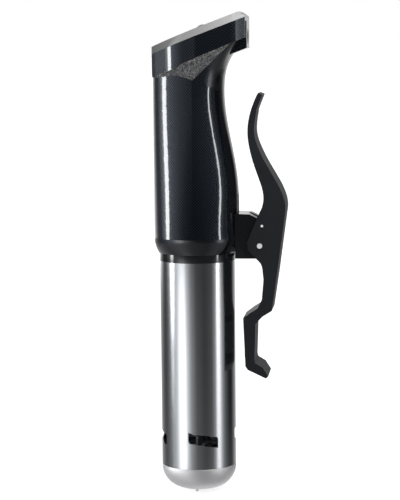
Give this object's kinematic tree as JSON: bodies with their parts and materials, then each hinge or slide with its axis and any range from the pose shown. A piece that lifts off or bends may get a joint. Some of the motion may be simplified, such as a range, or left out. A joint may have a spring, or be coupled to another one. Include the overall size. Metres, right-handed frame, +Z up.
{
  "type": "sous vide circulator",
  "caption": "Stick circulator with a creased black handle, slanted steel-rimmed panel, brushed steel sleeve, domed base cap and a sprung pot clamp that slides on a rail.",
  "frame": {"origin": "on the sleeve's axis at the flat underside of the base cap", "axes": "+Z up along the sleeve, +X to the rear where the clamp is, +Y to the left seen from the front"},
  "size_m": [0.1064, 0.0686, 0.3843],
  "materials": {
    "gloss_shell": "gloss black-blue, fine woven pattern",
    "gloss_black": "gloss black",
    "lever_matte": "fine matte texture",
    "sleeve_steel": "brushed around",
    "cap_satin": "satin",
    "rim_steel": "satin",
    "wheel_metal": "turned",
    "pin_steel": "bright",
    "screw_steel": "plated",
    "inner_steel": "plain",
    "motor_can": "plated",
    "bush_brass": "turned",
    "seal_rubber": "matte",
    "inner_plastic": "moulded",
    "board": "solder mask",
    "components": "moulded",
    "panel_glass": "gloss black",
    "key_print": "printed"
  },
  "bodies": {
    "housing": {"housing_shell": "gloss_shell", "rear_grip_cover": "gloss_black", "collar_ring": "gloss_black", "steel_sleeve": "sleeve_steel", "heater_flange": "inner_steel", "shaft_seal": "seal_rubber", "shaft_bush": "bush_brass", "heater_coil": "inner_steel", "heater_terminals": "bush_brass", "temperature_probe": "inner_steel", "level_rods": "inner_steel", "flange_screws": "screw_steel", "motor_mount": "inner_plastic", "motor": "motor_can", "motor_screws": "screw_steel", "power_board": "board", "power_parts": "components", "control_board": "board", "board_posts": "inner_plastic", "display_module": "components", "buzzer": "components", "panel_rim": "rim_steel", "panel_glass": "panel_glass", "touch_keys": "key_print", "wheel_axle": "screw_steel", "wheel_cradle": "inner_plastic", "inlet_gland": "seal_rubber", "clamp_rail": "gloss_black", "rail_screws": "screw_steel"},
    "thumbwheel": {"thumbwheel": "wheel_metal"},
    "rotor": {"drive_shaft": "screw_steel", "cooling_fan": "inner_plastic", "impeller": "inner_plastic"},
    "base_cap": {"base_cap": "cap_satin", "cap_seal": "seal_rubber"},
    "clamp_carriage": {"clamp_bracket": "gloss_black", "pivot_pin": "pin_steel", "torsion_spring": "screw_steel"},
    "clamp_lever": {"clamp_lever": "lever_matte", "stop_pin": "pin_steel", "jaw_pad": "seal_rubber"}
  },
  "joints": [
    {"name": "thumbwheel_spin", "type": "hinge", "parent": "housing", "child": "thumbwheel", "pos_m": [0.00663, 0, 0.36434], "axis": [0, 1, 0], "continuous": true},
    {"name": "rotor_spin", "type": "hinge", "parent": "housing", "child": "rotor", "pos_m": [0, 0, 0.2], "axis": [0, 0, 1], "continuous": true},
    {"name": "base_cap_pull", "type": "slide", "parent": "housing", "child": "base_cap", "axis": [0, 0, -1], "range_m": [0, 0.03]},
    {"name": "clamp_slide", "type": "slide", "parent": "housing", "child": "clamp_carriage", "axis": [0, 0, 1], "range_m": [0, 0.0155]},
    {"name": "lever_squeeze", "type": "hinge", "parent": "clamp_carriage", "child": "clamp_lever", "pos_m": [0.0513, 0, 0.1979], "axis": [0, -1, 0], "range_deg": [0, 9], "stiffness_Nm_per_rad": 2.5, "springref_deg": -17.19}
  ]
}
